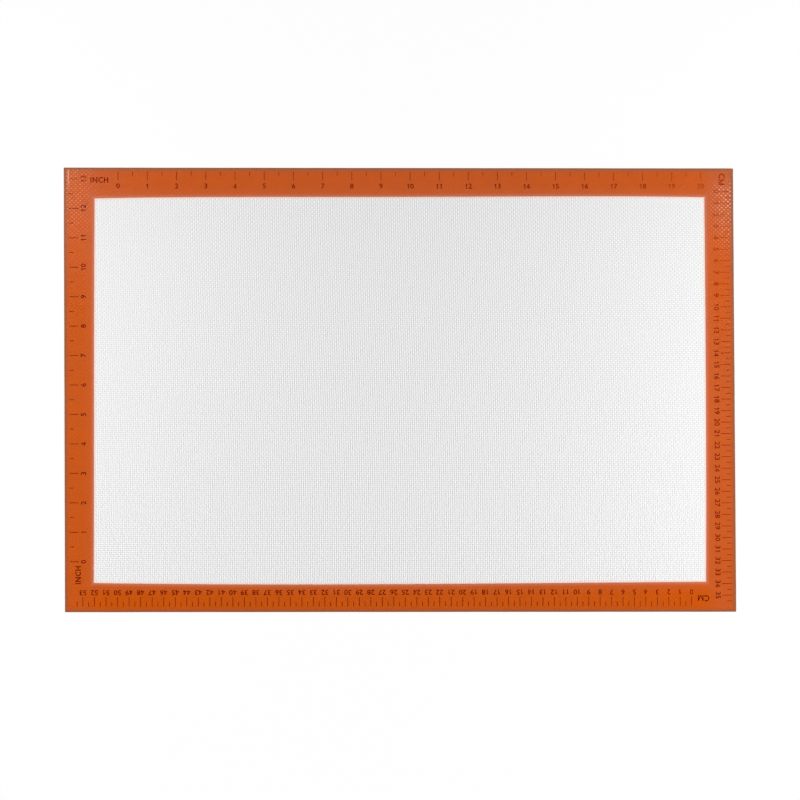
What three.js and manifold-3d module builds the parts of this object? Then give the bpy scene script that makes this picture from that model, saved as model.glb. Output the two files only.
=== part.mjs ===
// Silicone baking mat with a woven glass-fibre core, laid flat on the worktop.
// Millimetres, +Z up, +Y towards the edge with the long inch scale.
// The origin is the middle of the underside.

import * as THREE from 'three';
import { mergeVertices } from 'three/addons/utils/BufferGeometryUtils.js';
import Module from 'manifold-3d';

// Sheet: edge to edge, with nearly square corners.
const MAT_WIDTH = 583.5;
const MAT_DEPTH = 383.4;
const CORNER_RADIUS = 0.6;

// Layers, from the worktop up. The bond line keeps neighbouring layers apart.
const LOWER_COAT = 0.2;
const GLASS_CLOTH = 0.28;
const UPPER_COAT = 0.2;
const BOND_LINE = 0.01;

// Coloured border, measured in from the sheet's edge, and the seam at which it meets
// the clear panel.
const BORDER_WIDTH = 25.2;
const SEAM = 0.05;

// Bead that seals the cut edge: its width, how far its crown stands above the coats,
// and the rounding of its outer corners.
const SEAL_WIDTH = 1.9;
const SEAL_CROWN = 0.06;
const SEAL_ROUND = 0.3;
const SEAL_ROUND_STEPS = 4;

// Scale marks: lines of thick silicone ink, rooted in the coloured border.
const MARK_WIDTH = 0.6;
const INK_HEIGHT = 0.04;
const INK_ROOT = 0.1;
const INCH = 25.4;
const CENTIMETRE = 10;

// One scale along each edge, all drawn alike and turned to face inwards. A scale starts its
// zero mark some way from the corner, has a long mark at each unit and a short one at each
// half, and stops short of the next corner. The marks start a little inside the edge.
const SCALES = [
  {
    turn: 0, run: MAT_WIDTH, across: MAT_DEPTH, unit: INCH,
    zeroFromCorner: 47.4, stopFromCorner: 25, fromEdge: 3.0, longMark: 7.6, shortMark: 3.9,
  },
  {
    turn: 90, run: MAT_DEPTH, across: MAT_WIDTH, unit: INCH,
    zeroFromCorner: 43.4, stopFromCorner: 8, fromEdge: 4.5, longMark: 7.6, shortMark: 3.7,
  },
  {
    turn: 180, run: MAT_WIDTH, across: MAT_DEPTH, unit: CENTIMETRE,
    zeroFromCorner: 38.1, stopFromCorner: 8, fromEdge: 4.7, longMark: 8.1, shortMark: 4.1,
  },
  {
    turn: -90, run: MAT_DEPTH, across: MAT_WIDTH, unit: CENTIMETRE,
    zeroFromCorner: 19.8, stopFromCorner: 8, fromEdge: 4.2, longMark: 7.6, shortMark: 3.6,
  },
];

const glassBottom = LOWER_COAT + BOND_LINE;
const glassTop = glassBottom + GLASS_CLOTH;
const upperBottom = glassTop + BOND_LINE;
const upperTop = upperBottom + UPPER_COAT;

const wasm = await Module();
wasm.setup();

function solid(geometry) {
  const bare = geometry.index ? geometry.toNonIndexed() : geometry.clone();
  bare.deleteAttribute('normal');
  bare.deleteAttribute('uv');
  const merged = mergeVertices(bare, 1e-4);
  return new wasm.Manifold(new wasm.Mesh({
    numProp: 3,
    vertProperties: new Float32Array(merged.attributes.position.array),
    triVerts: new Uint32Array(merged.index.array),
  }));
}

function geometryOf(manifold) {
  const mesh = manifold.getMesh();
  const geometry = new THREE.BufferGeometry();
  geometry.setAttribute('position', new THREE.BufferAttribute(mesh.vertProperties, mesh.numProp));
  geometry.setIndex(new THREE.BufferAttribute(mesh.triVerts, 1));
  geometry.computeVertexNormals();
  return geometry;
}

// The sheet's outline set in from its edge by a given amount.
function corners(inset) {
  const x = MAT_WIDTH / 2 - inset;
  const y = MAT_DEPTH / 2 - inset;
  return [
    new THREE.Vector2(-x, -y), new THREE.Vector2(x, -y),
    new THREE.Vector2(x, y), new THREE.Vector2(-x, y),
  ];
}

// A flat panel that reaches to that inset.
function panel(inset, bottom, height) {
  const shape = new THREE.Shape(corners(inset));
  return new THREE.ExtrudeGeometry(shape, { depth: height, bevelEnabled: false })
    .translate(0, 0, bottom);
}

// A flat frame between two insets.
function frame(outerInset, innerInset, bottom, height) {
  const shape = new THREE.Shape(corners(outerInset));
  shape.holes.push(new THREE.Path(corners(innerInset)));
  return new THREE.ExtrudeGeometry(shape, { depth: height, bevelEnabled: false })
    .translate(0, 0, bottom);
}

// The marks of one scale, as upright slabs that start inside the border.
function scaleMarks(scale) {
  const step = scale.unit / 2;
  const count = Math.floor((scale.run - scale.zeroFromCorner - scale.stopFromCorner) / step) + 1;
  const turn = THREE.MathUtils.degToRad(scale.turn);
  return Array.from({ length: count }, (_, i) => {
    const length = i % 2 === 0 ? scale.longMark : scale.shortMark;
    const along = -scale.run / 2 + scale.zeroFromCorner + i * step;
    const across = scale.across / 2 - scale.fromEdge - length / 2;
    const middle = upperTop + (INK_HEIGHT - INK_ROOT) / 2;
    return new THREE.BoxGeometry(MARK_WIDTH, length, INK_HEIGHT + INK_ROOT)
      .translate(along, across, middle)
      .rotateZ(turn);
  });
}

// The rounded bead: a slab with rolled edges, opened up to leave its rim.
function sealRim() {
  const height = upperTop + SEAL_CROWN;
  const x = MAT_WIDTH / 2;
  const y = MAT_DEPTH / 2;
  const r = CORNER_RADIUS;
  const outline = new THREE.Shape()
    .moveTo(x, y - r)
    .absarc(x - r, y - r, r, 0, Math.PI / 2)
    .absarc(-x + r, y - r, r, Math.PI / 2, Math.PI)
    .absarc(-x + r, -y + r, r, Math.PI, Math.PI * 1.5)
    .absarc(x - r, -y + r, r, Math.PI * 1.5, Math.PI * 2);
  const slab = new THREE.ExtrudeGeometry(outline, {
    depth: height - 2 * SEAL_ROUND,
    bevelThickness: SEAL_ROUND,
    bevelSize: SEAL_ROUND,
    bevelOffset: -SEAL_ROUND,
    bevelSegments: SEAL_ROUND_STEPS,
    curveSegments: SEAL_ROUND_STEPS,
  }).translate(0, 0, SEAL_ROUND);
  const opening = panel(SEAL_WIDTH, -height, 3 * height);
  return geometryOf(solid(slab).subtract(solid(opening)));
}

// The upper border with every scale mark standing on it.
function graduatedBorder() {
  let border = solid(frame(SEAL_WIDTH + SEAM, BORDER_WIDTH, upperBottom, UPPER_COAT));
  for (const mark of SCALES.flatMap(scaleMarks)) {
    border = border.add(solid(mark));
  }
  return geometryOf(border);
}

const clearSilicone = () => new THREE.MeshStandardMaterial({ color: 0xe8e8e8, roughness: 0.5 });
const orangeSilicone = () => new THREE.MeshStandardMaterial({ color: 0xc4560f, roughness: 0.45 });
const glassYarn = () => new THREE.MeshStandardMaterial({ color: 0xf4f4f0, roughness: 0.7 });
const edgeSilicone = () => new THREE.MeshStandardMaterial({ color: 0xa85a28, roughness: 0.45 });

const bakingMat = new THREE.Group();

function addPiece(name, geometry, material) {
  const mesh = new THREE.Mesh(geometry, material);
  mesh.name = name;
  bakingMat.add(mesh);
}

addPiece('lower_coat', panel(BORDER_WIDTH + SEAM, 0, LOWER_COAT), clearSilicone());
addPiece('lower_border', frame(SEAL_WIDTH + SEAM, BORDER_WIDTH, 0, LOWER_COAT), orangeSilicone());
addPiece('glass_cloth', panel(SEAL_WIDTH + SEAM, glassBottom, GLASS_CLOTH), glassYarn());
addPiece('upper_coat', panel(BORDER_WIDTH + SEAM, upperBottom, UPPER_COAT), clearSilicone());
addPiece('upper_border', graduatedBorder(), orangeSilicone());
addPiece('edge_seal', sealRim(), edgeSilicone());

export default bakingMat;
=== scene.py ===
from math import cos, pi, radians, sin

import bmesh
import bpy
from mathutils import Matrix, Vector


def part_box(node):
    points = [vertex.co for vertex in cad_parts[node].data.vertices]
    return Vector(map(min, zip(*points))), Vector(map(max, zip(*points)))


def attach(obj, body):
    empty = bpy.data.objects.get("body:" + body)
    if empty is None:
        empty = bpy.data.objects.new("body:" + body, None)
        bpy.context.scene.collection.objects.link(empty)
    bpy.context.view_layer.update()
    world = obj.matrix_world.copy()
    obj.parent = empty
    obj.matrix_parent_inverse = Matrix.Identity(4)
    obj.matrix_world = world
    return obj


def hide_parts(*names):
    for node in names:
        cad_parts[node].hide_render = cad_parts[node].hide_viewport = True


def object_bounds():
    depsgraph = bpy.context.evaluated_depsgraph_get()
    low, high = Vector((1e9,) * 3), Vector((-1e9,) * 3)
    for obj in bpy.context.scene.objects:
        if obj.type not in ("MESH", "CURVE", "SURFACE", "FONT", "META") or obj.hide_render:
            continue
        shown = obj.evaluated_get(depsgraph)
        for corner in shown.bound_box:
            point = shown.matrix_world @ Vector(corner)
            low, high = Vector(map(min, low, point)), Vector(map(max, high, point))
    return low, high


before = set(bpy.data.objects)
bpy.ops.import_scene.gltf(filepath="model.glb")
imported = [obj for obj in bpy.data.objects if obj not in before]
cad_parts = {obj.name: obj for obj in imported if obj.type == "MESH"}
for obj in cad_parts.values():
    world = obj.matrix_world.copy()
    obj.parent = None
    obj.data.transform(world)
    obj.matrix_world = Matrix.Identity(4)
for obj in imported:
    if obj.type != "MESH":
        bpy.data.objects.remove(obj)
cad_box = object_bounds()

# Woven sheet: a plain weave of glass yarns dipped in clear silicone, which leaves the yarns'
# crowns standing and sinks between them. It is the core of the whole mat, and it shows as the
# pale panel inside the border.
MM = 0.001
WELD = 0.001 * MM
HALF_WIDTH = cad_box[1].x
HALF_DEPTH = cad_box[1].y
WARP_PITCH = 1.88045 * MM
WEFT_PITCH = 1.76495 * MM
WARP_REACH = 160
WEFT_REACH = 112
SHEET_WARP_CROWN = 0.03 * MM
SHEET_WEFT_CROWN = 0.17 * MM
SHEET_CROWN_LEVEL = 0.62 * MM
YARN_WHITE = (0.975, 0.975, 0.975)
GAP_GREY = (0.56, 0.56, 0.56)
PIGMENT_BLEED = (0.96, 0.60, 0.50)
BLEED_REACH = 2.4 * MM
FEATHER = 0.3 * MM
SHEET_BUMP = 0.3
SHARP_FROM = 0.8
SILICONE_IOR = 1.41
sheet_low, sheet_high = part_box("glass_cloth")


# Yarns counted from the mat's middle, whole numbers on the crests. The cloth was coated
# slightly bowed and the warp is beamed a little unevenly, so the counts lean and sweep.
def warp_count(x, y, cosine=cos):
    a = x / (290 * MM)
    b = y / (190 * MM)
    lean = 2.5948 * b + 0.8875 * b * b - 1.1675 * b * b * b
    beam = 0.0219 * a - 0.1498 * a * a + 0.0898 * cosine(x / (39.62 * MM) - 2.5377)
    return x / WARP_PITCH + 0.3013 + lean + beam


def weft_count(x, y):
    a = x / (290 * MM)
    b = y / (190 * MM)
    bow = 0.0747 * a * a - 0.1081 * a * a * a - 0.0700 * a
    return bow - y / WEFT_PITCH - 0.5895 + 0.1750 * b * b - 0.4796 * b * b * b + 0.1190 * a * b


# One where the warp lies on top, at counts that add up to an even number, and minus one where
# the weft does.
def warp_over(warp, weft, cosine=cos):
    return cosine(warp * pi) * cosine(weft * pi)


# Height of the coated crowns over the hollows between them.
def crown_relief(warp, weft, warp_crown, weft_crown, cosine=cos):
    over = warp_over(warp, weft, cosine)
    warp_round = (over + 1) * (over + 1)
    weft_round = (1 - over) * (1 - over)
    return warp_round * (warp_crown / 4) + weft_round * (weft_crown / 4)


# Where two yarns cross, found by stepping along the counts until they agree.
def crossing(warp, weft):
    x = warp * WARP_PITCH
    y = -weft * WEFT_PITCH
    for _ in range(4):
        x += (warp - warp_count(x, y)) * WARP_PITCH
        y -= (weft - weft_count(x, y)) * WEFT_PITCH
    return x, y


# A flat net with a vertex at every crossing, or at every half yarn, laid out on the real yarns.
# The middle is left out, roughly as far as the given distance from the mat's edge.
def yarn_net(per_yarn, open_from=HALF_WIDTH):
    net = bmesh.new()
    bmesh.ops.create_grid(
        net, x_segments=2 * WARP_REACH * per_yarn, y_segments=2 * WEFT_REACH * per_yarn, size=1,
        matrix=Matrix.Diagonal((WARP_REACH, WEFT_REACH, 1, 1)),
    )
    inside = [
        v for v in net.verts
        if abs(v.co.x) * WARP_PITCH < HALF_WIDTH - open_from
        and abs(v.co.y) * WEFT_PITCH < HALF_DEPTH - open_from
    ]
    bmesh.ops.delete(net, geom=inside, context="VERTS")
    for v in net.verts:
        v.co.x, v.co.y = crossing(v.co.x, -v.co.y)
    return net


# Cuts a net square, at the same distance from the mat's edge on all four sides.
def trim_outside(net, inset):
    for side in (Vector((1, 0, 0)), Vector((-1, 0, 0)), Vector((0, 1, 0)), Vector((0, -1, 0))):
        reach = HALF_WIDTH if side.x else HALF_DEPTH
        bmesh.ops.bisect_plane(
            net, geom=net.verts[:] + net.edges[:] + net.faces[:], dist=WELD,
            plane_co=side * (reach - inset), plane_no=side, clear_outer=True,
        )


# Makes a closed layer of a net: its free edges are drawn down, or up, to a flat back.
def close_layer(net, level):
    rim = [e for e in net.edges if e.is_boundary]
    wall = bmesh.ops.extrude_edge_only(net, edges=rim)["geom"]
    for v in wall:
        if isinstance(v, bmesh.types.BMVert):
            v.co.z = level
    back = [e for e in wall if isinstance(e, bmesh.types.BMEdge) and e.is_boundary]
    bmesh.ops.triangle_fill(net, use_beauty=False, edges=back)
    bmesh.ops.recalc_face_normals(net, faces=net.faces[:])


# How far a point lies inside the panel, or, below zero, out on the border. The border is
# printed by hand screen, so the line where it ends bows and leans on each side.
def into_panel(x, y):
    s = x / HALF_WIDTH
    t = y / HALF_DEPTH
    top = HALF_DEPTH - y - border_top(s)
    bottom = HALF_DEPTH + y - border_bottom(s)
    left = HALF_WIDTH + x - border_left(t)
    right = HALF_WIDTH - x - border_right(t)
    return min(top, bottom, left, right)


def border_top(s):
    return (24.80 - 1.10 * s - 1.46 * s * s + 2.97 * s**4) * MM


def border_bottom(s):
    return (23.62 + 1.03 * s + 1.78 * s * s - 1.17 * s**3) * MM


def border_left(t):
    return (25.72 + 0.90 * t + 0.18 * t * t + 0.48 * t**3) * MM


def border_right(t):
    return (24.43 - 0.14 * t + 0.82 * t * t - 0.16 * t**3) * MM


# Turns a finished net into a named piece of the mat, smooth but for its square edges, with
# each vertex's distance into the panel kept on it for its finish.
def mat_piece(name, net, finish):
    for e in net.edges:
        e.smooth = e.calc_face_angle(0.0) < SHARP_FROM
    mesh = bpy.data.meshes.new(name)
    net.to_mesh(mesh)
    net.free()
    mesh.polygons.foreach_set("use_smooth", [True] * len(mesh.polygons))
    mesh.materials.append(finish)
    depth = mesh.attributes.new("into_panel", "FLOAT", "POINT")
    depth.data.foreach_set("value", [into_panel(v.co.x, v.co.y) for v in mesh.vertices])
    piece = bpy.data.objects.new(name, mesh)
    bpy.context.scene.collection.objects.link(piece)
    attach(piece, "root")
    return piece


class Wire:
    """One output of a material's nodes, so that its maths reads as Python."""

    def __init__(self, tree, socket=None):
        self.tree = tree
        self.socket = socket

    def node(self, kind, settings=(), sockets=(), out=0):
        made = self.tree.nodes.new("ShaderNode" + kind)
        for name, value in dict(settings).items():
            setattr(made, name, value)
        for name, value in dict(sockets).items():
            self.feed(made.inputs[name], value)
        return Wire(self.tree, made.outputs[out])

    def feed(self, socket, value):
        if isinstance(value, Wire):
            self.tree.links.new(value.socket, socket)
        else:
            socket.default_value = value

    def beside(self, out):
        return Wire(self.tree, self.socket.node.outputs[out])

    def math(self, operation, *values):
        return self.node("Math", {"operation": operation}, dict(enumerate(values)))

    def cosine(self):
        return self.math("COSINE", self)

    def sine(self):
        return self.math("SINE", self)

    def fade(self, start, end):
        span = {"Value": self, "From Min": start, "From Max": end, "To Min": 0.0, "To Max": 1.0}
        return self.node("MapRange", {"interpolation_type": "SMOOTHSTEP"}, span)

    def mix(self, colour, other):
        shades = {0: self, 6: (*colour, 1) if isinstance(colour, tuple) else colour,
                  7: (*other, 1) if isinstance(other, tuple) else other}
        return self.node("Mix", {"data_type": "RGBA"}, shades, 2)

    # Noise about zero, drawn out along the mat by the given stretch.
    def noise(self, size, stretch=(1, 1, 1), detail=2.0):
        spot = self.node("Mapping", {}, {"Vector": self, "Scale": stretch})
        grain = self.node("TexNoise", {}, {"Vector": spot, "Scale": 1 / size, "Detail": detail})
        return grain - 0.5

    def __add__(self, other):
        return self.math("ADD", self, other)

    def __sub__(self, other):
        return self.math("SUBTRACT", self, other)

    def __rsub__(self, other):
        return self.math("SUBTRACT", other, self)

    def __mul__(self, other):
        return self.math("MULTIPLY", self, other)

    def __truediv__(self, other):
        return self.math("DIVIDE", self, other)

    __radd__ = __add__
    __rmul__ = __mul__


# A new finish for moulded silicone, with its shader and the wires that every finish here
# starts from: the place on the mat and the yarn counts under it.
def silicone(name, **fixed):
    finish = bpy.data.materials.new(name)
    finish.use_nodes = True
    tree = finish.node_tree
    shader = tree.nodes["Principled BSDF"]
    shader.inputs["IOR"].default_value = SILICONE_IOR
    for socket, value in fixed.items():
        shader.inputs[socket].default_value = value
    place = Wire(tree).node("TexCoord", out="Object")
    x = place.node("SeparateXYZ", {}, {0: place}, "X")
    y = x.beside("Y")
    warp = warp_count(x, y, Wire.cosine)
    weft = weft_count(x, y)
    return shader, place, x, y, warp, weft


def weave_bump(shader, height):
    bump = height.node("Bump", {}, {"Distance": 1.0, "Filter Width": 0.1, "Height": height})
    bump.feed(shader.inputs["Normal"], bump)


def finish_of(shader):
    return next(m for m in bpy.data.materials if m.node_tree == shader.id_data)


# The panel shows white yarns with narrow grey gaps. The warp lines fade towards the sides and the
# weft lines grow towards the near edge. The yarns vary in whiteness along their length, and their
# flanks carry painted light and shade, lighter on one side and darker on the other.
def woven_finish(name):
    shader, place, x, y, warp, weft = silicone(name, **{"Specular IOR Level": 0.12})
    a = x / (270 * MM)
    b = y / (190 * MM)
    over = warp_over(warp, weft, Wire.cosine)
    warp_yarn = (warp * (2 * pi)).cosine().fade(-0.95, 0.35) - 0.6
    weft_yarn = (weft * (2 * pi)).cosine().fade(-0.95, 0.35) - 0.6
    right = x.fade(60 * MM, 240 * MM)
    uneven = place.noise(2.5 * MM, detail=0.0) * (1 - b * 0.4)
    crossed = over * (0.128 + b * 0.032 - b * b * 0.012) * (1 - a * a * 0.4)
    white = warp_yarn * (0.60 - a * a * 0.37 - right * 0.06 + uneven * 1.35) * (1 - b * 0.18)
    white = white + weft_yarn * (0.20 - b * 0.20 + b * b * 0.11) * (1 + right * b * 0.4)
    white = white + crossed * x.fade(-255 * MM, -170 * MM) + over * uneven * 0.6
    # Painted shade on the crowns' flanks: one side lighter at the left of the panel, the other at
    # the right.
    painted_side_shade = (warp * pi).sine() * (weft * pi).cosine() * (a * 1.5).sine()
    white = white - painted_side_shade * (0.11 + b * 0.035)
    # Painted shade across the weft flanks: one side lighter towards the top, the other towards the
    # bottom.
    painted_near_shade = (warp * pi).cosine() * (weft * pi).sine()
    white = white + painted_near_shade * (b * 0.065 + b * b * 0.015 + a * 0.014 - 0.042)
    white = white + place.noise(0.6 * MM, detail=0.0) * (0.6 - b * 0.15) + 0.6
    yarns = white.mix(GAP_GREY, YARN_WHITE)
    depth = place.node("Attribute", {"attribute_name": "into_panel"}, {}, "Fac")
    bleed = 1 - (depth + over * FEATHER).fade(-0.4 * MM, BLEED_REACH)
    bleed.feed(shader.inputs["Base Color"], bleed.mix(yarns, PIGMENT_BLEED))
    bleed.feed(shader.inputs["Roughness"], 0.55 - over * 0.05)
    relief = crown_relief(warp, weft, SHEET_WARP_CROWN, SHEET_WEFT_CROWN, Wire.cosine)
    weave_bump(shader, relief * SHEET_BUMP)
    return finish_of(shader)


SHEET_INSET = HALF_WIDTH - sheet_high.x
net = yarn_net(1)
trim_outside(net, SHEET_INSET)
for v in net.verts:
    crown = crown_relief(warp_count(v.co.x, v.co.y), weft_count(v.co.x, v.co.y),
                         SHEET_WARP_CROWN, SHEET_WEFT_CROWN)
    v.co.z = SHEET_CROWN_LEVEL - SHEET_WEFT_CROWN + crown
close_layer(net, sheet_low.z)
coated_cloth = woven_finish("coated_cloth")
woven_sheet = mat_piece("woven_sheet", net, coated_cloth)
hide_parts("glass_cloth", "upper_coat")

# Border: a band of orange silicone screened round the working side while the coat is still
# wet. It follows the yarns under it, stands a little proud and thins out at its inner edge.
BORDER_LOW = 0.625 * MM
BORDER_COVER = 0.045 * MM
BORDER_WARP_CROWN = 0.12 * MM
BORDER_WEFT_CROWN = 0.015 * MM
BORDER_THINS = 1.4 * MM
BORDER_SKIN = 0.01 * MM
BORDER_STANDS = 0.5
BORDER_BUMP = 0.5
BEAD_WIDTH = 1.9 * MM
PIGMENT = (0.603, 0.092, 0.0020)
PIGMENT_DARK = (0.530, 0.080, 0.0026)
PIGMENT_GREYED = (0.50, 0.105, 0.030)
# Colour of the painted glints at the far corners.
GLINT_PINK = (0.82, 0.41, 0.28)
RIM_BROWN = (0.32, 0.095, 0.034)
BORDER_EDGE_PALE = (0.53, 0.18, 0.105)
SIDE_BROWN = 0.27 * MM
OPENING = 38 * MM


# How far the colour turns brown towards the cut edge, widest along the top and left.
def browning(place, x, y):
    out_x = HALF_WIDTH - SIDE_BROWN - x.math("ABSOLUTE", x)
    out_y = HALF_DEPTH - y.math("ABSOLUTE", y)
    inward = out_x.math("MINIMUM", out_x, out_y)
    lean = x / HALF_WIDTH * (0.29 * MM) - y / HALF_DEPTH * (0.35 * MM)
    inward = inward + lean + place.noise(3 * MM) * (0.8 * MM)
    return 1 - inward.fade(0.3 * MM, 2.7 * MM) * 0.82 - inward.fade(2.0 * MM, 5.5 * MM) * 0.18


# Painted glints at the two far corners, patchily: pale dots on the crown flanks that face out
# over each corner, and a painted highlight in a line beside the bead at the left one.
def rubbing(place, x, y, warp, weft):
    left = (warp * pi + 0.55).cosine() * (weft * pi + 0.4).cosine()
    right = (warp * pi - 0.75).cosine() * (weft * pi + 0.82).cosine()
    left_glint_zone = (1 - x.fade(-281 * MM, -258 * MM)) * y.fade(118 * MM, 165 * MM)
    right_glint_zone = x.fade(265 * MM, 289 * MM) * y.fade(100 * MM, 170 * MM)
    right_glint_zone = right_glint_zone * (1 - y.fade(172 * MM, 186 * MM))
    glint_dots = left.fade(0.0, 1.0) * left_glint_zone * 0.5 + right.fade(0.0, 1.0) * right_glint_zone * 1.1
    line = x.fade(-288.5 * MM, -287.7 * MM) * (1 - x.fade(-287.3 * MM, -286.4 * MM))
    line = line * y.fade(170 * MM, 184 * MM)
    return glint_dots * place.noise(4 * MM).fade(-0.27, 0.10) + line * 0.5


# Orange that varies from place to place, greyer and bluer at both sides, brown at the cut edge
# and pale where it thins out, with painted glints at the two far corners.
def border_finish():
    shader, place, x, y, warp, weft = silicone("border_orange", **{"Specular IOR Level": 0.35})
    over = warp_over(warp, weft, Wire.cosine)
    gaps = (warp * (2 * pi)).cosine() + (weft * (2 * pi)).cosine()
    shade = place.noise(11 * MM) * 0.9 + place.noise(60 * MM) * 0.8 - gaps * 0.12 - over * 0.1 + 0.5
    orange = shade.mix(PIGMENT, PIGMENT_DARK)
    # Greyer and bluer orange towards both sides, most on the right.
    near = 1 - y.fade(0.0, 120 * MM)
    side_greying = x.fade(262 * MM, 280 * MM) * (near * 0.4 + y.fade(125 * MM, 160 * MM) * 0.55)
    side_greying = side_greying + (1 - x.fade(-280 * MM, -262 * MM)) * near * 0.2
    orange = side_greying.mix(orange, PIGMENT_GREYED)
    orange = browning(place, x, y).mix(orange, RIM_BROWN)
    # Painted glints and a painted highlight line at the two far corners.
    orange = rubbing(place, x, y, warp, weft).mix(orange, GLINT_PINK)
    depth = place.node("Attribute", {"attribute_name": "into_panel"}, {}, "Fac") + over * FEATHER
    pale = depth.fade(-4.2 * MM, 0.2 * MM)
    pale = pale * pale * 0.89 + depth.fade(-11 * MM, -1 * MM) * 0.11
    pale.feed(shader.inputs["Base Color"], pale.mix(orange, BORDER_EDGE_PALE))
    pale.feed(shader.inputs["Roughness"], 0.2 - over * 0.02)
    relief = crown_relief(warp, weft, BORDER_WARP_CROWN, BORDER_WEFT_CROWN, Wire.cosine)
    weave_bump(shader, relief * BORDER_BUMP)
    return finish_of(shader)


# Cuts a net along one inner edge of the border: the bowed line is drawn straight, the net is
# split there, and the line is let go again.
def split_along(net, side, width):
    reach, along = (HALF_DEPTH, HALF_WIDTH) if side.y else (HALF_WIDTH, HALF_DEPTH)
    axis = 1 if side.y else 0
    sign = side.x + side.y
    straight = reach - width(0)

    def bow(v):
        return sign * (width(v.co[1 - axis] / along) - width(0))

    for v in net.verts:
        v.co[axis] += bow(v)
    near = [
        f for f in net.faces
        if abs(f.calc_center_median()[axis] * sign - straight) < 2 * WARP_PITCH
    ]
    edges = {e for f in near for e in f.edges}
    verts = {v for f in near for v in f.verts}
    bmesh.ops.bisect_plane(
        net, geom=[*verts, *edges, *near], dist=WELD,
        plane_co=side * straight, plane_no=side,
    )
    for v in net.verts:
        v.co[axis] -= bow(v)


# Opens a net up as far as the four given widths of border.
def open_middle(net, top, bottom, left, right):
    split_along(net, Vector((0, 1, 0)), top)
    split_along(net, Vector((0, -1, 0)), bottom)
    split_along(net, Vector((-1, 0, 0)), left)
    split_along(net, Vector((1, 0, 0)), right)

    def inside(f):
        x, y = f.calc_center_median().xy
        s = x / HALF_WIDTH
        t = y / HALF_DEPTH
        return (HALF_DEPTH - y > top(s) and HALF_DEPTH + y > bottom(s)
                and HALF_WIDTH + x > left(t) and HALF_WIDTH - x > right(t))

    bmesh.ops.delete(net, geom=[f for f in net.faces if inside(f)], context="FACES")


net = yarn_net(2, OPENING)
trim_outside(net, BEAD_WIDTH)
open_middle(net, border_top, border_bottom, border_left, border_right)
for v in net.verts:
    x, y = v.co.xy
    crown = crown_relief(warp_count(x, y), weft_count(x, y), BORDER_WARP_CROWN, BORDER_WEFT_CROWN)
    body = max(0.0, min(1.0, -into_panel(x, y) / BORDER_THINS))
    v.co.z = BORDER_LOW + BORDER_SKIN + (BORDER_COVER + crown * BORDER_STANDS) * body
close_layer(net, BORDER_LOW)
border = mat_piece("border", net, border_finish())
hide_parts("upper_border")

# Underside: the same dip coats the back of the cloth, clear in the middle and pigmented under
# the border. The mat lies on the crowns of this face.
UNDER_CROWN = 0.06 * MM
_, under_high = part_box("lower_coat")
_, under_border_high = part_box("lower_border")
UNDER_SEAM = 0.05 * MM


def under_face(net):
    for v in net.verts:
        crown = crown_relief(warp_count(v.co.x, v.co.y), weft_count(v.co.x, v.co.y),
                             UNDER_CROWN, UNDER_CROWN)
        v.co.z = UNDER_CROWN - crown
    close_layer(net, under_high.z)


def under_border_finish():
    shader, place, x, y, warp, weft = silicone("under_border", Roughness=0.4)
    shade = warp_over(warp, weft, Wire.cosine) * 0.2 + place.noise(12 * MM) + 0.5
    shade.feed(shader.inputs["Base Color"], shade.mix(PIGMENT, PIGMENT_DARK))
    return finish_of(shader)


def under_width(s):
    return HALF_WIDTH - under_high.x - UNDER_SEAM


net = yarn_net(1)
trim_outside(net, HALF_WIDTH - under_high.x)
under_face(net)
under_coat = mat_piece("under_coat", net, coated_cloth)
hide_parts("lower_coat")
net = yarn_net(1, OPENING)
trim_outside(net, HALF_WIDTH - under_border_high.x)
open_middle(net, under_width, under_width, under_width, under_width)
under_face(net)
under_border = mat_piece("under_border", net, under_border_finish())
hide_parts("lower_border")

# Scales: inches along the top and left edges, centimetres along the bottom and right, printed
# in dark silicone ink on the cured border. Long marks count the units, short ones the halves.
INCH = 25.4 * MM
CENTIMETRE = 10 * MM
INK_LOW = 0.66 * MM
INK_HIGH = 0.757 * MM
DIGIT_HEIGHT = 4.3 * MM
DIGIT_PITCH = 3.3 * MM
DIGIT_WIDEN = 1.08
DIGIT_SPREAD = 0.065 * MM
INCH_HEIGHT = 4.65 * MM
INCH_SPREAD = 0.10 * MM
C_HEIGHT = 5.0 * MM
C_SPREAD = 0.15 * MM
M_HEIGHT = 5.2 * MM
M_HALF_WIDTH = 2.05 * MM
M_STEM = 0.76 * MM
M_SLANT = 0.70 * MM
FONT_CAP = 0.69
INK = (0.150, 0.004, 0.0004)
INK_THIN = (0.26, 0.012, 0.0004)
INK_FADES = 215 * MM


# The ink is painted faded towards the far right corner, though less at its very tip, and a little
# at
# the far left one: painted glare, where the corner glints hide the ink.
def ink_finish():
    shader, place, x, y, warp, weft = silicone("scale_ink", **{"Specular IOR Level": 0.05})
    over = warp_over(warp, weft, Wire.cosine)
    lean = x / HALF_WIDTH * 0.22 + y / HALF_DEPTH * 0.24
    worn = place.noise(2.2 * MM) + 0.22 - over * 0.15 + lean
    ink = worn.mix(INK, INK_THIN)
    # Painted glare: the ink is mixed into the orange at the two far corners.
    corner = (x - HALF_WIDTH) * 1.3 + (y - HALF_DEPTH)
    glare_fade = corner.fade(-INK_FADES, -20 * MM) - corner.fade(-38 * MM, -33 * MM) * 0.5
    left = (1 - x.fade(-281 * MM, -264 * MM)) * y.fade(160 * MM, 184 * MM)
    glare_washed = glare_fade * 0.65 + left * 0.5
    glare_washed.feed(shader.inputs["Base Color"], glare_washed.mix(ink, PIGMENT_DARK))
    worn.feed(shader.inputs["Roughness"], 0.3 - over * 0.03)
    weave_bump(shader, crown_relief(warp, weft, BORDER_WARP_CROWN, BORDER_WEFT_CROWN, Wire.cosine))
    return finish_of(shader)


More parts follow.
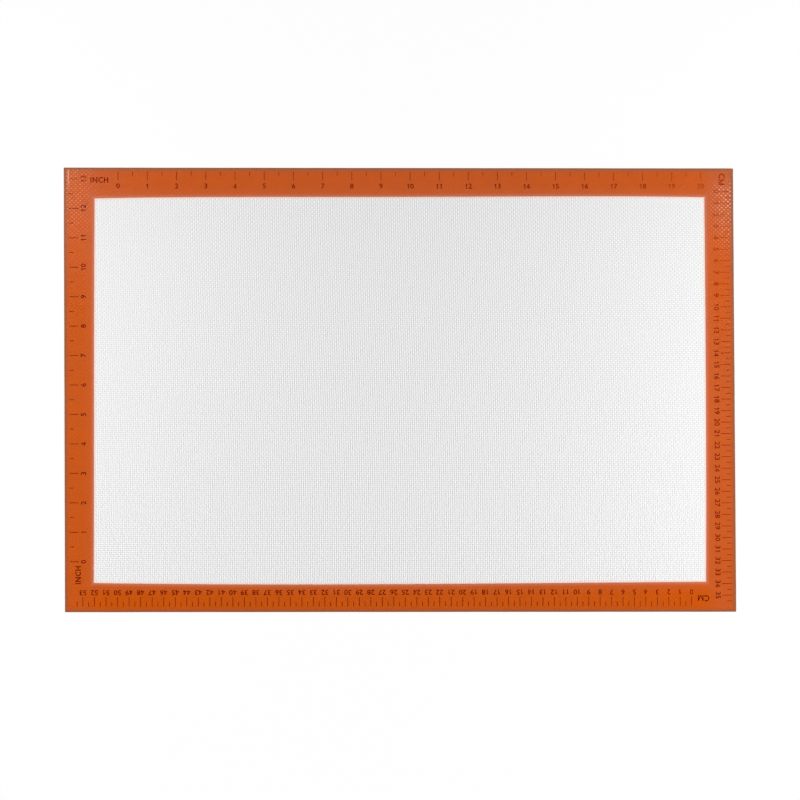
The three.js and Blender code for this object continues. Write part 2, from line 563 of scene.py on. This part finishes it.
# A straight stroke of ink as a low slab.
def ink_stroke(ink, width, length, along, across, turn=0.0):
    size = Matrix.Diagonal((width, length, INK_HIGH - INK_LOW, 1))
    spot = Matrix.Translation((along, across, (INK_LOW + INK_HIGH) / 2))
    bmesh.ops.create_cube(ink, size=1, matrix=spot @ Matrix.Rotation(radians(turn), 4, "Z") @ size)


# Lettering as a closed slab of ink, its middle at the origin.
def ink_text(text, height, spread):
    curve = bpy.data.curves.new("ink", "FONT")
    curve.body = text
    curve.size = height / FONT_CAP
    curve.align_x = "CENTER"
    curve.align_y = "CENTER"
    curve.resolution_u = 2
    curve.space_character = 1.12
    curve.offset = spread
    curve.extrude = (INK_HIGH - INK_LOW) / 2
    holder = bpy.data.objects.new("ink", curve)
    bpy.context.scene.collection.objects.link(holder)
    bpy.context.view_layer.update()
    shaped = holder.evaluated_get(bpy.context.evaluated_depsgraph_get())
    mesh = bpy.data.meshes.new_from_object(shaped)
    bpy.data.objects.remove(holder)
    bpy.data.curves.remove(curve)
    return mesh


def add_text(ink, mesh, widen, along, across):
    before = set(ink.verts)
    ink.from_mesh(mesh)
    added = [v for v in ink.verts if v not in before]
    bmesh.ops.scale(ink, vec=(widen, 1, 1), verts=added)
    bmesh.ops.translate(ink, vec=(along, across, (INK_LOW + INK_HIGH) / 2), verts=added)


# A number on a scale, digit by digit. The one is a stem with a slanting flag, the four three
# straight strokes.
def add_number(ink, number, along, across):
    digits = str(number)
    for at, digit in enumerate(digits):
        spot = along + (at - (len(digits) - 1) / 2) * DIGIT_PITCH
        if digit == "1":
            ink_stroke(ink, 0.66 * MM, DIGIT_HEIGHT, spot + 0.25 * MM, across)
            ink_stroke(ink, 0.5 * MM, 1.45 * MM, spot - 0.35 * MM, across + 1.35 * MM, -48)
        elif digit == "4":
            ink_stroke(ink, 0.62 * MM, DIGIT_HEIGHT, spot + 0.6 * MM, across)
            ink_stroke(ink, 3.0 * MM, 0.55 * MM, spot, across - 0.75 * MM)
            ink_stroke(ink, 0.52 * MM, 3.4 * MM, spot - 0.35 * MM, across + 0.65 * MM, -33)
        else:
            add_text(ink, digit_shapes[digit], DIGIT_WIDEN, spot, across)


# The unit of a scale. The M is four straight strokes, and its middle comes down to the line.
def add_word(ink, word, along, across):
    if word == "INCH":
        add_text(ink, word_shapes["INCH"], 0.9, along, across)
        return
    add_text(ink, word_shapes["C"], 0.92, along - 3.1 * MM, across)
    for side in (-1, 1):
        spot = along + 2.4 * MM + side * M_HALF_WIDTH
        ink_stroke(ink, M_STEM, M_HEIGHT, spot, across)
        ink_stroke(ink, M_SLANT, M_HEIGHT, spot - side * MM, across + 0.05 * MM, -side * 22.5)


# One scale, drawn along its own edge from the corner where it starts and then turned to it. A
# pair of insets is in millimetres, at the start of the scale and at its end.
def scale(name, turn, unit, word, word_along, zero, stop, mark_width, mark_inset, long_mark,
          short_mark, word_inset, digit_inset):
    run, reach = (HALF_WIDTH, HALF_DEPTH) if turn % 180 == 0 else (HALF_DEPTH, HALF_WIDTH)
    ink = bmesh.new()
    marks = int((2 * run - zero - stop) / (unit / 2)) + 1
    for half in range(marks):
        length = short_mark if half % 2 else long_mark
        along = zero - run + half * unit / 2
        share = half / marks
        inset = mark_inset[0] + share * (mark_inset[1] - mark_inset[0])
        ink_stroke(ink, mark_width, length, along, reach - inset * MM - length / 2)
        if half % 2 == 0:
            inset = digit_inset[0] + share * (digit_inset[1] - digit_inset[0])
            add_number(ink, half // 2, along, reach - inset * MM)
    add_word(ink, word, word_along - run, reach - word_inset)
    bmesh.ops.remove_doubles(ink, verts=ink.verts[:], dist=WELD)
    turned = Matrix.Rotation(radians(turn), 3, "Z")
    bmesh.ops.rotate(ink, cent=(0, 0, 0), matrix=turned, verts=ink.verts[:])
    bmesh.ops.recalc_face_normals(ink, faces=ink.faces[:])
    mesh = bpy.data.meshes.new(name)
    ink.to_mesh(mesh)
    ink.free()
    mesh.materials.append(scale_ink)
    piece = bpy.data.objects.new(name, mesh)
    bpy.context.scene.collection.objects.link(piece)
    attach(piece, "root")
    return piece


scale_ink = ink_finish()
digit_shapes = {digit: ink_text(digit, DIGIT_HEIGHT, DIGIT_SPREAD) for digit in "02356789"}
word_shapes = {
    "INCH": ink_text("INCH", INCH_HEIGHT, INCH_SPREAD), "C": ink_text("C", C_HEIGHT, C_SPREAD),
}
scales = [
    scale("scale_top_inch", turn=0, unit=INCH, word="INCH", word_along=31.15 * MM,
          zero=47.4 * MM, stop=25 * MM, mark_width=0.43 * MM, mark_inset=(3.2, 3.0),
          long_mark=7.6 * MM, short_mark=3.9 * MM, word_inset=10.85 * MM,
          digit_inset=(16.0, 15.4)),
    scale("scale_left_inch", turn=90, unit=INCH, word="INCH", word_along=31.85 * MM,
          zero=43.4 * MM, stop=8 * MM, mark_width=0.50 * MM, mark_inset=(4.2, 5.1),
          long_mark=7.6 * MM, short_mark=3.7 * MM, word_inset=11.6 * MM,
          digit_inset=(16.4, 17.5)),
    scale("scale_bottom_cm", turn=180, unit=CENTIMETRE, word="CM", word_along=27.7 * MM,
          zero=38.1 * MM, stop=8 * MM, mark_width=0.48 * MM, mark_inset=(4.2, 4.7),
          long_mark=8.1 * MM, short_mark=4.1 * MM, word_inset=11.25 * MM,
          digit_inset=(16.7, 16.95)),
    scale("scale_right_cm", turn=-90, unit=CENTIMETRE, word="CM", word_along=9.3 * MM,
          zero=19.8 * MM, stop=8 * MM, mark_width=0.45 * MM, mark_inset=(2.9, 2.7),
          long_mark=8.5 * MM, short_mark=4.0 * MM, word_inset=9.9 * MM,
          digit_inset=(15.05, 15.05)),
]
for shape in (*digit_shapes.values(), *word_shapes.values()):
    bpy.data.meshes.remove(shape)

# Edge bead: a line of silicone run round the cut edge, so that the glass can't fray, coloured brown
# towards the edge. It is rounded above and below, and wanders a little, as a bead laid by hand
# does.
BEAD_TOP = 0.755 * MM
BEAD_ROUND = 0.3 * MM
BEAD_CORNER = 0.6 * MM
BEAD_STEPS = 110
BEAD_WANDER = 0.05 * MM
BEAD_BUMP = 0.6
HAIR = 0.01 * MM


def bead_finish():
    shader, place, x, y, warp, weft = silicone("edge_bead", Roughness=0.25)
    orange = (place.noise(11 * MM) + 0.5).mix(PIGMENT, PIGMENT_DARK)
    brown = browning(place, x, y)
    brown.feed(shader.inputs["Base Color"], brown.mix(orange, RIM_BROWN))
    relief = crown_relief(warp, weft, BORDER_WARP_CROWN, BORDER_WEFT_CROWN, Wire.cosine)
    weave_bump(shader, relief * BEAD_BUMP)
    return finish_of(shader)


# How far the bead spreads past the sheet's nominal edge on each side.
def bead_spread_x(x, t):
    return (0.78 - 0.28 * t) * MM if x > 0 else (-0.06 - 0.24 * t) * MM


def bead_spread_y(y, s):
    return (0.24 + 0.20 * s) * MM if y > 0 else (0.43 + 0.40 * s) * MM


bead = bmesh.new()
bmesh.ops.create_grid(
    bead, x_segments=1, y_segments=1, size=1,
    matrix=Matrix.Diagonal((HALF_WIDTH, HALF_DEPTH, 1, 1)),
)
middle = bead.faces[:]
bmesh.ops.inset_region(
    bead, faces=middle, thickness=BEAD_WIDTH, use_boundary=True, use_even_offset=True,
)
bmesh.ops.delete(bead, geom=middle, context="FACES")
long_edges = [e for e in bead.edges if e.calc_length() > 10 * MM]
bmesh.ops.subdivide_edges(bead, edges=long_edges, cuts=BEAD_STEPS, use_grid_fill=True)
raised = bmesh.ops.extrude_face_region(bead, geom=bead.faces[:], use_keep_orig=True)["geom"]
bmesh.ops.translate(
    bead, vec=(0, 0, BEAD_TOP), verts=[v for v in raised if isinstance(v, bmesh.types.BMVert)],
)
bmesh.ops.recalc_face_normals(bead, faces=bead.faces[:])


def at_corner(v):
    return abs(v.co.x) > HALF_WIDTH - HAIR and abs(v.co.y) > HALF_DEPTH - HAIR


def is_outer_wall(f):
    return abs(f.normal.z) < 0.5 and f.normal.dot(f.calc_center_median()) > 0


corners = [e for e in bead.edges if all(at_corner(v) for v in e.verts)]
bmesh.ops.bevel(
    bead, geom=corners, offset=BEAD_CORNER, affect="EDGES", segments=4, profile=0.5, material=-1,
)
rolled = [
    e for e in bead.edges
    if abs(e.verts[0].co.z - e.verts[1].co.z) < HAIR
    and any(is_outer_wall(f) for f in e.link_faces)
    and any(abs(f.normal.z) > 0.5 for f in e.link_faces)
]
bmesh.ops.bevel(
    bead, geom=rolled, offset=BEAD_ROUND, affect="EDGES", segments=4, profile=0.5, material=-1,
)
for v in bead.verts:
    x, y = v.co.xy
    drift = sin(x / (21 * MM) + 1.3) + sin(y / (17 * MM) + 0.4) + sin((x + y) / (9 * MM))
    share_x = 1 - min(1.0, (HALF_WIDTH - abs(x)) / BEAD_WIDTH)
    share_y = 1 - min(1.0, (HALF_DEPTH - abs(y)) / BEAD_WIDTH)
    wander = BEAD_WANDER * drift / 3
    v.co.x += share_x * (bead_spread_x(x, y / HALF_DEPTH) + wander) * (1 if x > 0 else -1)
    v.co.y += share_y * (bead_spread_y(y, x / HALF_WIDTH) + wander) * (1 if y > 0 else -1)
edge_bead = mat_piece("edge_bead", bead, bead_finish())
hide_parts("edge_seal")

# Floor, light and camera: the mat lies on a white table, with soft boxes at both sides, in front
# and high behind, a small lamp over each far corner, and a white room that is dark overhead. The
# camera looks almost straight down through a long lens.
FLOOR_GAP = 0.05 * MM
FLOOR_REACH = 8.0
FLOOR_WHITE = (0.95, 0.95, 0.95, 1)
FLOOR_GLOW_SHARE = 0.92
floor_net = bmesh.new()
bmesh.ops.create_grid(floor_net, x_segments=4, y_segments=4, size=FLOOR_REACH)
bmesh.ops.translate(floor_net, vec=(0, 0, -FLOOR_GAP), verts=floor_net.verts[:])
floor_mesh = bpy.data.meshes.new("floor")
floor_net.to_mesh(floor_mesh)
floor_net.free()
floor_white = bpy.data.materials.new("floor_white")
floor_white.use_nodes = True
tree = floor_white.node_tree
tree.nodes.remove(tree.nodes["Principled BSDF"])
matt = Wire(tree).node("BsdfDiffuse", {}, {"Color": FLOOR_WHITE})
glow = matt.node("Emission", {}, {"Color": (1, 1, 1, 1), "Strength": 1.0})
seen = matt.node("LightPath", out="Is Camera Ray")
seen = seen.math("MAXIMUM", seen, seen.beside("Is Glossy Ray"))
seen = seen.math("MAXIMUM", seen, seen.node("LightPath", out="Is Transmission Ray"))
shown = matt.node("MixShader", {}, {0: seen * FLOOR_GLOW_SHARE, 1: matt, 2: glow})
shown.feed(tree.nodes["Material Output"].inputs["Surface"], shown)
floor_mesh.materials.append(floor_white)
floor = bpy.data.objects.new("floor", floor_mesh)
bpy.context.scene.collection.objects.link(floor)

ROOM_LIGHT = 0.80
ROOM_OVERHEAD = 0.03
OVERHEAD = (0.128, 0.039, 0.991)
world = bpy.data.worlds.new("studio")
bpy.context.scene.world = world
world.use_nodes = True
tree = world.node_tree
sky = Wire(tree).node("TexCoord", out="Generated")
toward = sky.node("VectorMath", {"operation": "DOT_PRODUCT"}, {0: sky, 1: OVERHEAD}, "Value")
overhead = toward.fade(0.65, 0.86)
room = 1 - overhead * (1 - ROOM_OVERHEAD)
seen = sky.node("LightPath", out="Is Camera Ray")
strength = seen + (1 - seen) * room * ROOM_LIGHT
backdrop = tree.nodes["Background"]
backdrop.inputs["Color"].default_value = (1, 1, 1, 1)
strength.feed(backdrop.inputs["Strength"], strength)


def soft_box(name, place, aim, size, watts):
    lamp = bpy.data.lights.new(name, "AREA")
    lamp.shape = "SQUARE"
    lamp.size = size
    lamp.energy = watts
    box = bpy.data.objects.new(name, lamp)
    box.location = place
    box.rotation_euler = (Vector(aim) - Vector(place)).to_track_quat("-Z", "Y").to_euler()
    box.visible_camera = False
    bpy.context.scene.collection.objects.link(box)


soft_box("soft_box_left", (-0.85, 0.0, 0.36), (-0.2, 0.0, 0.0), 0.5, 4.0)
soft_box("soft_box_right", (0.80, -0.05, 0.34), (0.2, -0.05, 0.0), 0.45, 3.95)
soft_box("soft_box_front", (0.0, -0.75, 0.35), (0.0, -0.1, 0.0), 0.5, 0.90)
soft_box("lamp_far_left", (-0.275, 0.175, 0.3), (-0.28, 0.15, 0.0), 0.12, 0.05)
soft_box("lamp_far_right", (0.390, 0.170, 0.3), (0.28, 0.15, 0.0), 0.12, 0.05)
soft_box("soft_box_back", (0.27, 0.58, 2.0), (0.0, 0.1, 0.0), 1.0, 3.1)

CAMERA_LENS = 630.40
CAMERA_SEES = 40
CAMERA_PLACE = (-1.54903, -0.46892, 12.0)
CAMERA_TURN = (2.2149, -7.3442, -0.2924)
camera_data = bpy.data.cameras.new("camera")
camera_data.sensor_width = 36
camera_data.lens = CAMERA_LENS
camera_data.clip_end = CAMERA_SEES
camera = bpy.data.objects.new("camera", camera_data)
camera.location = CAMERA_PLACE
camera.rotation_euler = [radians(turn) for turn in CAMERA_TURN]
bpy.context.scene.collection.objects.link(camera)
bpy.context.scene.camera = camera
bpy.context.scene.view_settings.view_transform = "Standard"
